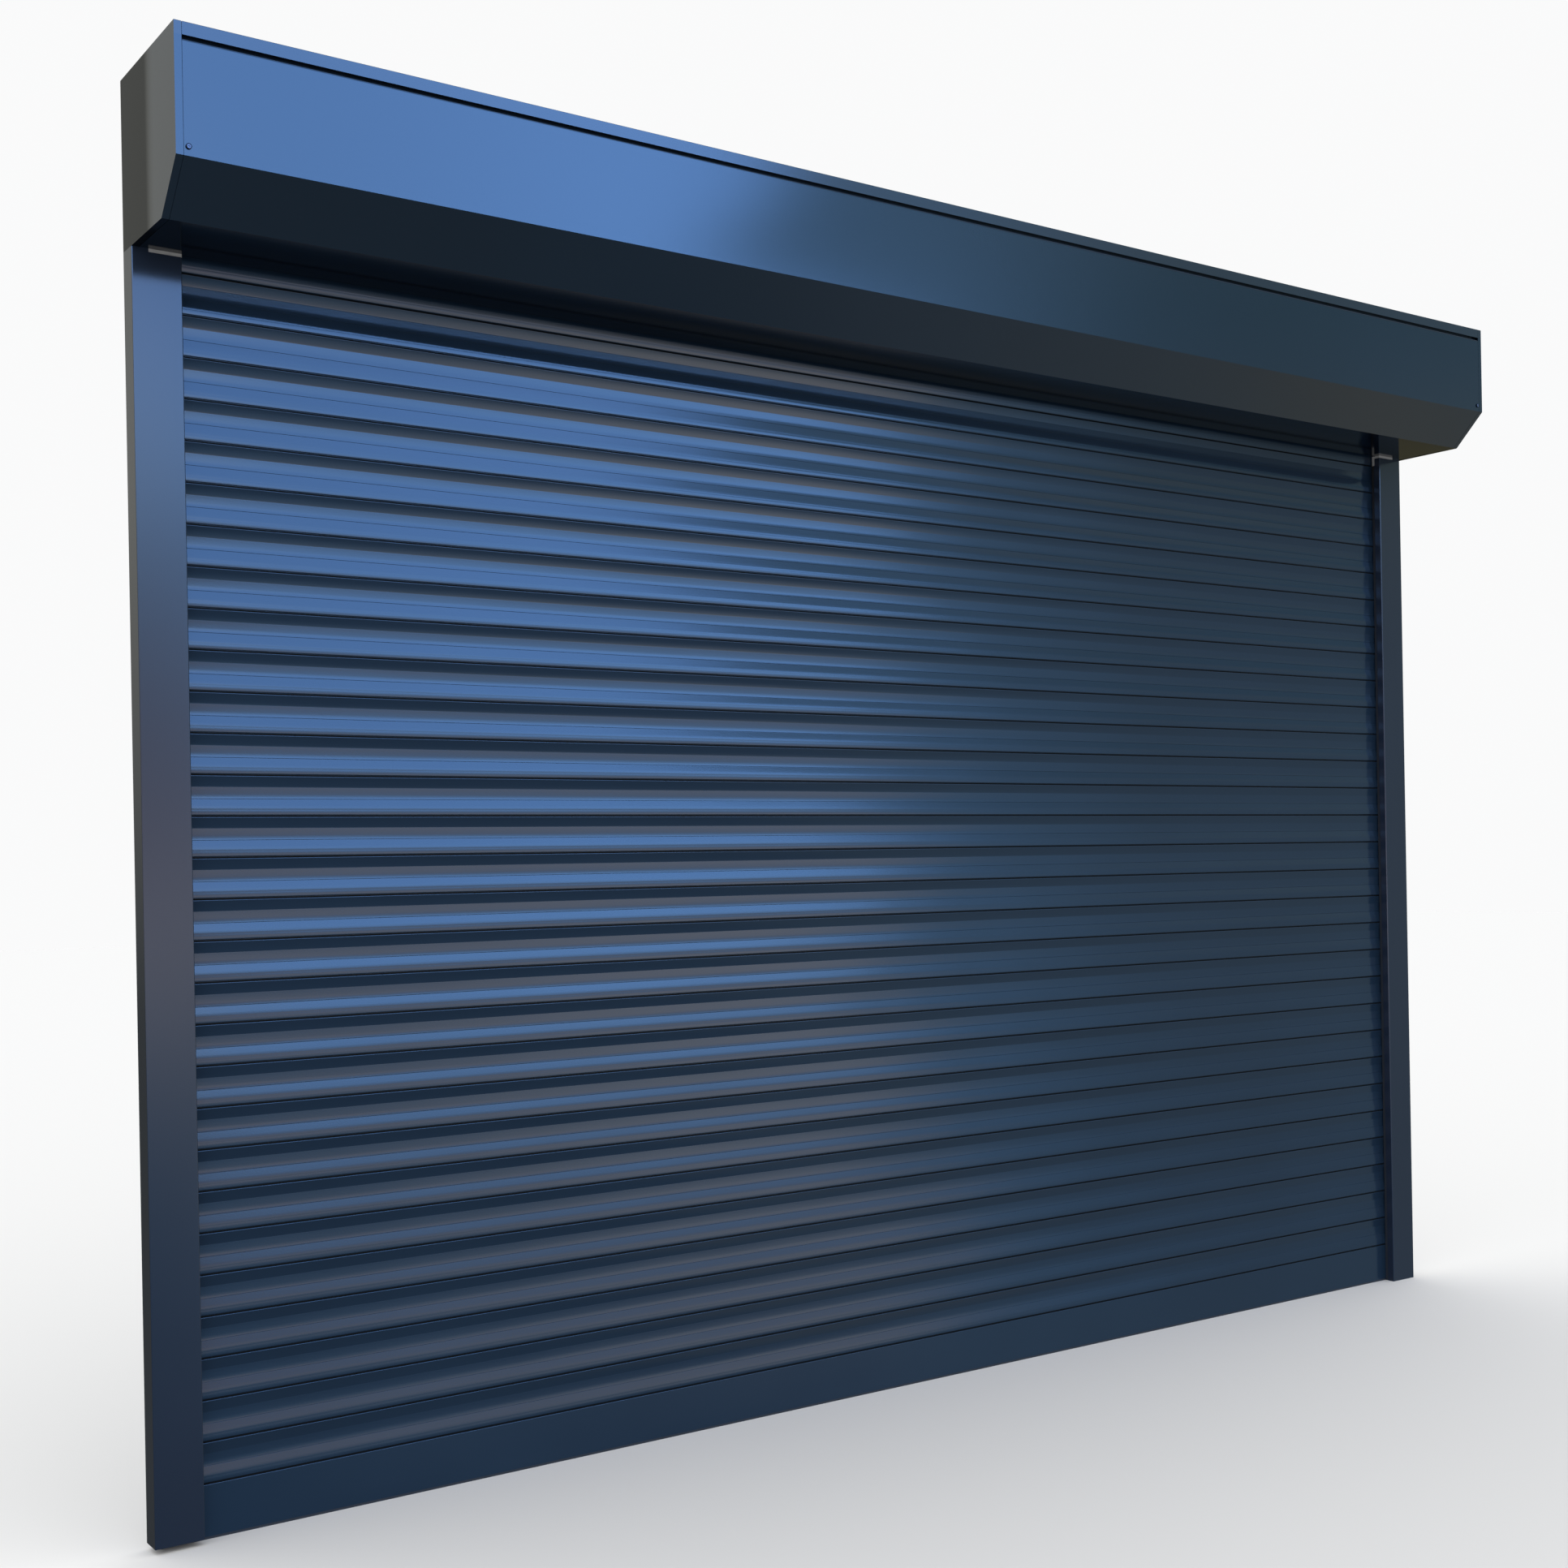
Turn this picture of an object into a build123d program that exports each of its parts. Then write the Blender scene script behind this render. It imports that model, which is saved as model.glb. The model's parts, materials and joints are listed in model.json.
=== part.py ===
from build123d import *
import math
import os

# Roller shutter door in millimetres: X along the door, Y towards the wall, Z up
# The origin is on the wall plane, at floor level, in the middle of the clear opening

# Doorway and box
CLEAR_WIDTH = 3395.0
CLEAR_HEIGHT = 2360.7
BOX_OVERHANG = 25.0
BOX_HEIGHT = 312.7
BOX_DEPTH = 312.3
BOX_SLOPE_DEPTH = 85.6
BOX_SLOPE_HEIGHT = 85.4

# Box shells
SHEET = 1.5
STRIP_HEIGHT = 22.5
SHADOW_GAP = 6.0
STRIP_HEM = 10.0
STRIP_FLANGE = 12.0
JOGGLE_HEIGHT = 14.0
PANEL_TOP_BEND = 4.0
END_PLATE = 3.0
RIM_WIDTH = 13.0
RIM_WALL = 2.0
RIM_LEDGE = 15.0
PANEL_END_GAP = 0.8
PANEL_SEAM = 0.4
INLET_LIP = 18.0

# Guide rails
RAIL_WIDTH = 90.0
RAIL_DEPTH = 50.0
RAIL_WALL = 2.5
RAIL_EDGE_RADIUS = 2.0
LEFT_FOOT_GAP = 11.0
SLOT_WIDTH = 28.0
SLOT_WALL = 2.0
FIXING_RADIUS = 3.3
FIXING_COUNT = 4
FIXING_END = 180.0
FIXING_FROM_OUTER = 7.5
BRUSH_WIDTH = 8.0
BRUSH_SET_IN = 2.0
BRUSH_CLEARANCE = 0.3

# Inlets that lead the slats into the rails
INLET_HEIGHT = 6.5
INLET_WIDTH = 60.0
INLET_SET_BACK = 1.0
INLET_LEG_HEIGHT = 20.0
INLET_LEG_DEPTH = 7.0
INLET_LEG_WALL = 1.5
INLET_LEG_SHOULDER = 2.0
INLET_CHAMFER = 4.0
CONNECTOR_WIDTH = 20.0
CONNECTOR_LENGTH = 60.0
CONNECTOR_CLEARANCE = 0.3

# Slats
SLAT_PITCH = 77.0
SLAT_COUNT = 30
SLAT_THICKNESS = 14.5
SLAT_WALL = 0.8
SLAT_ENGAGEMENT = 70.0
SLAT_FRONT_FROM_WALL = 20.7
SLAT_RECESS = 3.0
SLAT_FLAT_BAND = 8.0
SLAT_LOWER_BAND = 20.5
SLAT_MIDDLE_BAND = 22.5
SLAT_BEND_RADIUS = 50.0
SHOULDER_RADIUS = 1.0
SLAT_GROOVE = 0.4
SLAT_BACK_RADIUS = 1.5
TOP_SLAT_LEAN = 10.0
FOAM_CLEARANCE = 0.15

# Knuckle joint between slats: a bead in a socket that is open below
BEAD_RADIUS = 2.0
KNUCKLE_CLEARANCE = 0.2
SOCKET_WALL = 0.8
SOCKET_FRONT_ANGLE = 190.0
SOCKET_BACK_ANGLE = 300.0
NECK_WALL = 1.2
SHOULDER_GAP = 2.0
SOCKET_FOOT = 1.5
WEDGE_REACH = 2.0

# Side locks on the slat ends
LOCK_THICKNESS = 6.0
LOCK_HEIGHT = 58.0
LOCK_MARGIN = 0.5

# Bottom bar and its rubber seal
BAR_TOP_KNUCKLE = 105.7
BAR_WALL = 1.8
SEAL_HEIGHT = 5.0
SEAL_MARGIN = 0.6
SEAL_STEM = 5.0
SEAL_HEAD = 8.6
SEAL_HEAD_HEIGHT = 3.0
SEAL_CLEARANCE = 0.2
END_CAP_THICKNESS = 3.0

# Barrel, an octagonal tube that turns on a tube motor and an idler pin
BARREL_FLATS = 70.0
BARREL_WALL = 1.5
BARREL_FROM_WALL = 157.7
BARREL_BELOW_TOP = 156.4
BARREL_PLUG_CLEARANCE = 0.1
RUNNING_CLEARANCE = 0.06
RING_COUNT = 6
RING_WIDTH = 30.0
RING_WALL = 4.0
STRAP_WIDTH = 40.0
STRAP_THICKNESS = 2.0
STRAP_CLEARANCE = 0.3
STRAP_WRAP_ANGLE = 60.0

# Tube motor at the right end
BRACKET_SIZE = 120.0
BRACKET_THICKNESS = 5.0
BRACKET_BOLT_SPACING = 96.0
BRACKET_BOLT_RADIUS = 3.2
NUT_FLATS = 10.0
NUT_HEIGHT = 5.0
STUD_TIP = 1.5
MOTOR_HEAD_RADIUS = 29.0
MOTOR_HEAD_LENGTH = 24.0
MOTOR_RADIUS = 22.5
MOTOR_LENGTH = 560.0
BARREL_HEAD_GAP = 4.0
CROWN_LENGTH = 18.0
DRIVE_WHEEL_LENGTH = 30.0
DRIVE_WHEEL_GAP = 2.0
DRIVE_SHAFT_RADIUS = 8.0
DRIVE_SHAFT_LENGTH = 24.0

# Idler and ball bearing at the left end
IDLER_BRACKET_THICKNESS = 6.0
HOUSING_LENGTH = 14.0
HOUSING_WALL = 4.0
BEARING_RADIUS = 16.0
BEARING_WIDTH = 10.0
BALL_COUNT = 8
BALL_SHARE = 0.5
BALL_CLEARANCE = 0.1
PIN_RADIUS = 6.0
PIN_END_GAP = 2.0
IDLER_PLUG_LENGTH = 60.0
IDLER_FLANGE = 3.0
BARREL_IDLER_GAP = 4.0

# Panel screws and cable grommet
SCREW_RADIUS = 2.4
SCREW_HEAD_RADIUS = 5.0
SCREW_HEAD_HEIGHT = 2.4
SCREW_LENGTH = 10.0
SCREW_CLEARANCE = 0.1
SCREW_FROM_PANEL_END = 8.0
SCREW_ABOVE_SLOPE = 16.0
SCREW_SLOT_WIDTH = 1.1
SCREW_SLOT_LENGTH = 5.0
SCREW_SLOT_DEPTH = 1.2
GROMMET_BORE = 5.0
GROMMET_NECK = 8.0
GROMMET_FLANGE = 11.0
GROMMET_FLANGE_WALL = 2.5
GROMMET_FROM_WALL = 45.0
GROMMET_BELOW_TOP = 60.0

# Places worked out from the sizes
box_bottom = CLEAR_HEIGHT
box_top = CLEAR_HEIGHT + BOX_HEIGHT
box_left = -CLEAR_WIDTH / 2 - RAIL_WIDTH
box_right = CLEAR_WIDTH / 2 + RAIL_WIDTH + BOX_OVERHANG
panel_left = box_left + RIM_WIDTH + PANEL_END_GAP
panel_right = box_right - RIM_WIDTH - PANEL_END_GAP
slope_top = box_bottom + BOX_SLOPE_HEIGHT
slope_foot = -BOX_DEPTH + BOX_SLOPE_DEPTH
rail_top = CLEAR_HEIGHT - INLET_HEIGHT
slot_front = -RAIL_WALL - SLOT_WIDTH
chamber_back = slot_front - SLOT_WALL
chamber_front = -RAIL_DEPTH + RAIL_WALL
inlet_edge = slot_front - RAIL_WALL - INLET_CHAMFER

socket_radius = BEAD_RADIUS + KNUCKLE_CLEARANCE
knuckle_radius = socket_radius + SOCKET_WALL
knuckle_y = -SLAT_FRONT_FROM_WALL + knuckle_radius
slat_back = SLAT_THICKNESS - knuckle_radius
shoulder = SLAT_PITCH - knuckle_radius - SHOULDER_GAP
slat_length = CLEAR_WIDTH + 2 * SLAT_ENGAGEMENT
top_knuckle = BAR_TOP_KNUCKLE + SLAT_PITCH * (SLAT_COUNT - 1)

barrel_y = -BARREL_FROM_WALL
barrel_z = box_top - BARREL_BELOW_TOP
bracket_face = box_right - END_PLATE - BRACKET_THICKNESS
motor_start = bracket_face - MOTOR_HEAD_LENGTH
motor_end = motor_start - MOTOR_LENGTH
barrel_right = motor_start - BARREL_HEAD_GAP
idler_face = box_left + END_PLATE + IDLER_BRACKET_THICKNESS
housing_face = idler_face + HOUSING_LENGTH - IDLER_BRACKET_THICKNESS
barrel_left = housing_face + BARREL_IDLER_GAP
barrel_length = barrel_right - barrel_left


def profile_plane(x, y=0.0, z=0.0, lean=0.0):
    """Plane across the door: its first axis points to the wall and its second axis up."""
    angle = math.radians(lean)
    return Plane(origin=(x, y, z), x_dir=(0, math.cos(angle), math.sin(angle)), z_dir=(1, 0, 0))


def sheet_outline(path, thickness):
    """Corners of a bent sheet whose outer face follows the path, with the sheet on its left."""
    inner = []
    for index, point in enumerate(path):
        before = path[max(index - 1, 0)]
        after = path[min(index + 1, len(path) - 1)]
        if index == 0:
            before = (2 * point[0] - after[0], 2 * point[1] - after[1])
        if index == len(path) - 1:
            after = (2 * point[0] - before[0], 2 * point[1] - before[1])
        in_angle = math.atan2(point[1] - before[1], point[0] - before[0])
        out_angle = math.atan2(after[1] - point[1], after[0] - point[0])
        turn = (out_angle - in_angle + math.pi) % (2 * math.pi) - math.pi
        normal = in_angle + turn / 2 + math.pi / 2
        reach = thickness / math.cos(turn / 2)
        inner.append((point[0] + reach * math.cos(normal), point[1] + reach * math.sin(normal)))
    return list(path) + inner[::-1]


def sheet_panel(path, x_from, x_to, soft_bends=()):
    """A folded sheet panel that runs along the door from one X to the other, with some bends rounded."""
    with BuildPart() as panel:
        with BuildSketch(profile_plane(x_from)) as section:
            Polygon(*sheet_outline(path, SHEET), align=None)
            for corner, radius in soft_bends:
                fillet(section.vertices().sort_by_distance(corner)[0], radius=radius)
        extrude(amount=x_to - x_from)
    return panel


def save(piece, name):
    """Label a finished piece and write its STEP file."""
    piece.part.label = name
    export_step(piece.part, f"parts/{name}.step")


os.makedirs("parts", exist_ok=True)


# Slats

def slat_outer_points():
    """Outline of a slat, measured from its lower knuckle's axis."""
    front = -knuckle_radius
    recess = front + SLAT_RECESS
    lower_bend = SLAT_FLAT_BAND + SLAT_LOWER_BAND
    upper_bend = lower_bend + SLAT_MIDDLE_BAND
    return [
        (front, 0),
        (front, SLAT_FLAT_BAND),
        (recess, lower_bend),
        (recess + SLAT_GROOVE, lower_bend + SLAT_GROOVE),
        (recess, lower_bend + 2 * SLAT_GROOVE),
        (recess, upper_bend),
        (front, shoulder),
        (slat_back, shoulder),
        (slat_back, -SOCKET_FOOT),
        (socket_radius, -SOCKET_FOOT),
    ]


def slat_cavity_points():
    """Outline of the foam-filled hollow in a slat."""
    front = -knuckle_radius + SLAT_WALL
    recess = front + SLAT_RECESS + SLAT_GROOVE / 2
    lower_bend = SLAT_FLAT_BAND + SLAT_LOWER_BAND
    upper_bend = lower_bend + SLAT_MIDDLE_BAND
    above_socket = knuckle_radius + SLAT_WALL
    return [
        (front, above_socket),
        (front, SLAT_FLAT_BAND),
        (recess, lower_bend),
        (recess, upper_bend),
        (front, shoulder - SLAT_WALL),
        (slat_back - SLAT_WALL, shoulder - SLAT_WALL),
        (slat_back - SLAT_WALL, SLAT_WALL - SOCKET_FOOT),
        (above_socket, SLAT_WALL - SOCKET_FOOT),
        (above_socket, above_socket),
    ]


def polar_point(radius, degrees):
    """Point at a distance and an angle from the knuckle's axis, with 0 to the wall and 90 up."""
    angle = math.radians(degrees)
    return (radius * math.cos(angle), radius * math.sin(angle))


def mouth_points():
    """Corners of the wedge that opens a socket for the neck of the bead below."""
    middle = (SOCKET_FRONT_ANGLE + SOCKET_BACK_ANGLE) / 2
    angles = (SOCKET_FRONT_ANGLE, middle, SOCKET_BACK_ANGLE)
    return [(0, 0)] + [polar_point(WEDGE_REACH * knuckle_radius, angle) for angle in angles]


def knuckle_socket():
    """Ring around the bead below, with the mouth in which the neck swings."""
    Circle(knuckle_radius)
    Circle(socket_radius, mode=Mode.SUBTRACT)
    Polygon(*mouth_points(), align=None, mode=Mode.SUBTRACT)


def knuckle_bead(height, root):
    """Bead on its neck, which rises from the root level to the bead's centre."""
    with Locations((0, (root + height) / 2)):
        Rectangle(NECK_WALL, height - root)
    with Locations((0, height)):
        Circle(BEAD_RADIUS)


def make_slat(z, lean=0.0):
    """Hollow slat whose lower knuckle's axis is at height z."""
    first_bend = (-knuckle_radius, SLAT_FLAT_BAND)
    shoulder_edge = (-knuckle_radius, shoulder)
    with BuildPart() as slat:
        with BuildSketch(profile_plane(-slat_length / 2, knuckle_y, z, lean)) as section:
            Polygon(*slat_outer_points(), align=None)
            fillet(section.vertices().sort_by(Axis.X)[-2:], radius=SLAT_BACK_RADIUS)
            fillet(section.vertices().sort_by_distance(first_bend)[0], radius=SLAT_BEND_RADIUS)
            fillet(section.vertices().sort_by_distance(shoulder_edge)[0], radius=SHOULDER_RADIUS)
            Polygon(*slat_cavity_points(), align=None, mode=Mode.SUBTRACT)
            knuckle_socket()
            knuckle_bead(SLAT_PITCH, shoulder - SLAT_WALL)
        extrude(amount=slat_length)
    return slat


for number in range(1, SLAT_COUNT):
    slat = make_slat(BAR_TOP_KNUCKLE + SLAT_PITCH * (number - 1))
    save(slat, f"slat_{number:02d}")

top_slat = make_slat(top_knuckle, TOP_SLAT_LEAN)
save(top_slat, f"slat_{SLAT_COUNT:02d}")


# Foam that fills the slats

def foam_section():
    """Sketch of a slat's foam, smaller than the cavity all round."""
    Polygon(*slat_cavity_points(), align=None)
    offset(amount=-FOAM_CLEARANCE, kind=Kind.INTERSECTION, mode=Mode.REPLACE)


with BuildPart() as slat_foam_cores:
    for number in range(1, SLAT_COUNT):
        z = BAR_TOP_KNUCKLE + SLAT_PITCH * (number - 1)
        with BuildSketch(profile_plane(-slat_length / 2, knuckle_y, z)):
            foam_section()
    extrude(amount=slat_length)
save(slat_foam_cores, "slat_foam_cores")

with BuildPart() as top_slat_foam:
    with BuildSketch(profile_plane(-slat_length / 2, knuckle_y, top_knuckle, TOP_SLAT_LEAN)):
        foam_section()
    extrude(amount=slat_length)
save(top_slat_foam, "top_slat_foam")


# Side locks, which keep the slats from sliding sideways in the rails
lock_front = -knuckle_radius + SLAT_RECESS + LOCK_MARGIN
lock_back = slat_back - LOCK_MARGIN
lock_bottom = (SLAT_PITCH - LOCK_HEIGHT) / 2

with BuildPart() as slat_side_locks:
    for number in range(1, SLAT_COUNT):
        z = BAR_TOP_KNUCKLE + SLAT_PITCH * (number - 1)
        for x in (-slat_length / 2 - LOCK_THICKNESS, slat_length / 2):
            with BuildSketch(profile_plane(x, knuckle_y, z)):
                with Locations(((lock_front + lock_back) / 2, lock_bottom + LOCK_HEIGHT / 2)):
                    Rectangle(lock_back - lock_front, LOCK_HEIGHT)
    extrude(amount=LOCK_THICKNESS)
save(slat_side_locks, "slat_side_locks")


# Bottom bar
bar_front = -knuckle_radius
bar_bottom = SEAL_HEIGHT - BAR_TOP_KNUCKLE
bar_top = shoulder - SLAT_PITCH
bar_middle = (bar_front + slat_back) / 2
seal_floor = bar_bottom + BAR_WALL + SEAL_HEAD_HEIGHT + 2 * SEAL_CLEARANCE

with BuildPart() as bottom_bar:
    with BuildSketch(profile_plane(-slat_length / 2, knuckle_y, BAR_TOP_KNUCKLE)) as section:
        with Locations((bar_middle, (bar_bottom + bar_top) / 2)):
            Rectangle(SLAT_THICKNESS, bar_top - bar_bottom)
        fillet(section.vertices().sort_by_distance((bar_front, bar_top))[0], radius=SHOULDER_RADIUS)
        hollow_bottom = seal_floor + BAR_WALL
        hollow_top = bar_top - BAR_WALL
        with Locations((bar_middle, (hollow_bottom + hollow_top) / 2)):
            Rectangle(SLAT_THICKNESS - 2 * BAR_WALL, hollow_top - hollow_bottom, mode=Mode.SUBTRACT)
        channel_bottom = bar_bottom + BAR_WALL
        with Locations((bar_middle, (channel_bottom + seal_floor) / 2)):
            Rectangle(SEAL_HEAD + 2 * SEAL_CLEARANCE, seal_floor - channel_bottom, mode=Mode.SUBTRACT)
        with Locations((bar_middle, bar_bottom + BAR_WALL / 2)):
            Rectangle(SEAL_STEM + 2 * SEAL_CLEARANCE, 2 * BAR_WALL, mode=Mode.SUBTRACT)
        knuckle_bead(0, bar_top - BAR_WALL)
    extrude(amount=slat_length)
save(bottom_bar, "bottom_bar")

with BuildPart() as bottom_bar_end_caps:
    for x in (-slat_length / 2 - END_CAP_THICKNESS, slat_length / 2):
        with BuildSketch(profile_plane(x, knuckle_y, BAR_TOP_KNUCKLE)):
            with Locations((bar_middle, (bar_bottom + bar_top) / 2)):
                Rectangle(SLAT_THICKNESS, bar_top - bar_bottom)
    extrude(amount=END_CAP_THICKNESS)
save(bottom_bar_end_caps, "bottom_bar_end_caps")

with BuildPart() as bottom_seal:
    with BuildSketch(profile_plane(-slat_length / 2, knuckle_y, BAR_TOP_KNUCKLE)):
        with Locations((bar_middle, bar_bottom - SEAL_HEIGHT / 2)):
            Rectangle(SLAT_THICKNESS - 2 * SEAL_MARGIN, SEAL_HEIGHT)
        with Locations((bar_middle, bar_bottom + BAR_WALL / 2)):
            Rectangle(SEAL_STEM, BAR_WALL + 2 * SEAL_CLEARANCE)
        with Locations((bar_middle, bar_bottom + BAR_WALL + SEAL_CLEARANCE + SEAL_HEAD_HEIGHT / 2)):
            Rectangle(SEAL_HEAD, SEAL_HEAD_HEIGHT)
    extrude(amount=slat_length)
save(bottom_seal, "bottom_seal")


# Guide rails, drawn for the right side and mirrored for the left
rail_inner = CLEAR_WIDTH / 2
rail_outer = rail_inner + RAIL_WIDTH
fixing_x = rail_outer - RAIL_WALL - FIXING_FROM_OUTER
fixing_spacing = (rail_top - 2 * FIXING_END) / (FIXING_COUNT - 1)
fixing_heights = [FIXING_END + fixing_spacing * index for index in range(FIXING_COUNT)]

with BuildPart() as right_guide_rail:
    with BuildSketch(Plane.XY) as section:
        with Locations(((rail_inner + rail_outer) / 2, -RAIL_DEPTH / 2)):
            Rectangle(RAIL_WIDTH, RAIL_DEPTH)
        fillet(section.vertices().group_by(Axis.Y)[0], radius=RAIL_EDGE_RADIUS)
        with Locations(((rail_inner + rail_outer) / 2, (chamber_front + chamber_back) / 2)):
            Rectangle(RAIL_WIDTH - 2 * RAIL_WALL, chamber_back - chamber_front, mode=Mode.SUBTRACT)
        with Locations(((rail_inner + rail_outer - RAIL_WALL) / 2, slot_front + SLOT_WIDTH / 2)):
            Rectangle(RAIL_WIDTH - RAIL_WALL, SLOT_WIDTH, mode=Mode.SUBTRACT)
    extrude(amount=CLEAR_HEIGHT)
    with BuildSketch(Plane.XY.offset(rail_top)):
        with Locations((rail_inner + INLET_WIDTH / 2, (slot_front - RAIL_DEPTH) / 2)):
            Rectangle(INLET_WIDTH, slot_front + RAIL_DEPTH)
        with Locations(((rail_inner + rail_outer - RAIL_WALL) / 2, (chamber_front + slot_front) / 2)):
            Rectangle(RAIL_WIDTH - RAIL_WALL, slot_front - chamber_front)
    extrude(amount=INLET_HEIGHT, mode=Mode.SUBTRACT)
    for height in fixing_heights:
        with BuildSketch(Plane.XZ):
            with Locations((fixing_x, height)):
                Circle(FIXING_RADIUS)
        extrude(amount=RAIL_WALL, mode=Mode.SUBTRACT)
save(right_guide_rail, "right_guide_rail")

with BuildPart() as left_guide_rail:
    mirror(right_guide_rail.part, about=Plane.YZ)
    with BuildSketch(Plane.XY):
        with Locations((-(rail_inner + rail_outer) / 2, -RAIL_DEPTH / 2)):
            Rectangle(RAIL_WIDTH, RAIL_DEPTH)
    extrude(amount=LEFT_FOOT_GAP, mode=Mode.SUBTRACT)
save(left_guide_rail, "left_guide_rail")

front_brush_back = -SLAT_FRONT_FROM_WALL - BRUSH_CLEARANCE
back_brush_front = -SLAT_FRONT_FROM_WALL + SLAT_THICKNESS + BRUSH_CLEARANCE
brush_x = rail_inner + BRUSH_SET_IN + BRUSH_WIDTH / 2
brush_top = top_knuckle - knuckle_radius - BRUSH_CLEARANCE

with BuildPart() as rail_brush_strips:
    for x, foot in ((-brush_x, LEFT_FOOT_GAP), (brush_x, 0)):
        with BuildSketch(Plane.XY.offset(foot)):
            with Locations((x, (slot_front + front_brush_back) / 2)):
                Rectangle(BRUSH_WIDTH, front_brush_back - slot_front)
            with Locations((x, (back_brush_front - RAIL_WALL) / 2)):
                Rectangle(BRUSH_WIDTH, -RAIL_WALL - back_brush_front)
        extrude(amount=brush_top - foot)
save(rail_brush_strips, "rail_brush_strips")

inlet_front = -RAIL_DEPTH + INLET_SET_BACK
leg_y = slot_front - INLET_LEG_SHOULDER + INLET_LEG_DEPTH / 2

with BuildPart() as right_inlet:
    with BuildSketch(Plane.XY.offset(rail_top)):
        with Locations((rail_inner + INLET_WIDTH / 2, (inlet_front + slot_front) / 2)):
            Rectangle(INLET_WIDTH, slot_front - inlet_front)
    extrude(amount=INLET_HEIGHT)
    top_back_edge = right_inlet.edges().filter_by(Axis.X).group_by(Axis.Z)[-1].sort_by(Axis.Y)[-1]
    chamfer(top_back_edge, length=INLET_CHAMFER)
    with BuildSketch(Plane.XY.offset(rail_top + INLET_HEIGHT)):
        with Locations((rail_inner - INLET_LEG_WALL / 2, leg_y)):
            Rectangle(INLET_LEG_WALL, INLET_LEG_DEPTH)
    extrude(amount=-INLET_HEIGHT - INLET_LEG_HEIGHT)

with BuildPart() as rail_inlets:
    add(right_inlet.part)
    mirror(right_inlet.part, about=Plane.YZ)
save(rail_inlets, "rail_inlets")

connector_depth = chamber_back - chamber_front - 2 * CONNECTOR_CLEARANCE
connector_x = rail_outer - RAIL_WALL - CONNECTOR_CLEARANCE - CONNECTOR_WIDTH / 2

with BuildPart() as rail_connectors:
    with BuildSketch(Plane.XY.offset(box_bottom)):
        for x in (-connector_x, connector_x):
            with Locations((x, (chamber_front + chamber_back) / 2)):
                Rectangle(CONNECTOR_WIDTH, connector_depth)
    extrude(amount=-CONNECTOR_LENGTH)
save(rail_connectors, "rail_connectors")


# Box shells
strip_back = -BOX_DEPTH + STRIP_FLANGE
top_path = [
    (-SHEET, box_top),
    (strip_back + PANEL_SEAM, box_top),
]
strip_path = [
    (strip_back, box_top),
    (-BOX_DEPTH, box_top),
    (-BOX_DEPTH, box_top - STRIP_HEIGHT),
    (-BOX_DEPTH + STRIP_HEM, box_top - STRIP_HEIGHT),
]
panel_top = box_top - STRIP_HEIGHT - SHADOW_GAP
joggle_y = -BOX_DEPTH + STRIP_HEM + PANEL_SEAM
panel_path = [
    (joggle_y, panel_top + JOGGLE_HEIGHT),
    (joggle_y, panel_top),
    (-BOX_DEPTH, panel_top),
    (-BOX_DEPTH, slope_top),
    (slope_foot, box_bottom),
    (slope_foot + STRIP_HEM, box_bottom),
]
underside_path = [
    (slope_foot + STRIP_HEM + PANEL_SEAM, box_bottom),
    (inlet_edge, box_bottom),
    (inlet_edge, box_bottom + INLET_LIP),
]
back_path = [
    (0, box_bottom),
    (0, box_top),
]

screw_z = slope_top + SCREW_ABOVE_SLOPE
screw_places = [
    (panel_left + SCREW_FROM_PANEL_END, screw_z),
    (panel_right - SCREW_FROM_PANEL_END, screw_z),
]

top_sheet = sheet_panel(top_path, panel_left, panel_right)
front_strip = sheet_panel(strip_path, panel_left, panel_right)

with BuildPart() as box_top_panel:
    add(top_sheet.part)
    add(front_strip.part)
save(box_top_panel, "box_top_panel")

box_back_panel = sheet_panel(back_path, panel_left, panel_right)
save(box_back_panel, "box_back_panel")

underside_panel = sheet_panel(underside_path, panel_left, panel_right)
save(underside_panel, "underside_panel")

panel_top_bend = (
    ((-BOX_DEPTH, panel_top), PANEL_TOP_BEND),
    ((-BOX_DEPTH + SHEET, panel_top - SHEET), PANEL_TOP_BEND - SHEET),
)
plain_panel = sheet_panel(panel_path, panel_left, panel_right, panel_top_bend)

with BuildPart() as inspection_panel:
    add(plain_panel.part)
    with BuildSketch(Plane.XZ.offset(BOX_DEPTH)):
        with Locations(*screw_places):
            Circle(SCREW_RADIUS + SCREW_CLEARANCE)
    extrude(amount=-2 * SHEET, mode=Mode.SUBTRACT)
save(inspection_panel, "inspection_panel")


# End plates: a flat plate with a rim flush with the panels and a ledge that carries them
box_outline = [
    (0, box_bottom),
    (0, box_top),
    (-BOX_DEPTH, box_top),
    (-BOX_DEPTH, slope_top),
    (slope_foot, box_bottom),
]
ledge_width = RIM_WIDTH + RIM_LEDGE
ledge_cut = SHEET + RIM_WALL + PANEL_SEAM


def box_ring(outer_inset, thickness):
    """Ring that follows the box's outline, set in by outer_inset, and open where the slats pass."""
    for inset, mode in ((outer_inset, Mode.ADD), (outer_inset + thickness, Mode.SUBTRACT)):
        with BuildSketch(mode=Mode.PRIVATE) as outline:
            Polygon(*box_outline, align=None)
            if inset > 0:
                offset(amount=-inset, kind=Kind.INTERSECTION, mode=Mode.REPLACE)
        add(outline.sketch_local, mode=mode)
    notch_depth = -inlet_edge + ledge_cut
    with Locations((-notch_depth / 2, box_bottom)):
        Rectangle(notch_depth, 2 * (INLET_LIP + ledge_cut), mode=Mode.SUBTRACT)


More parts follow.
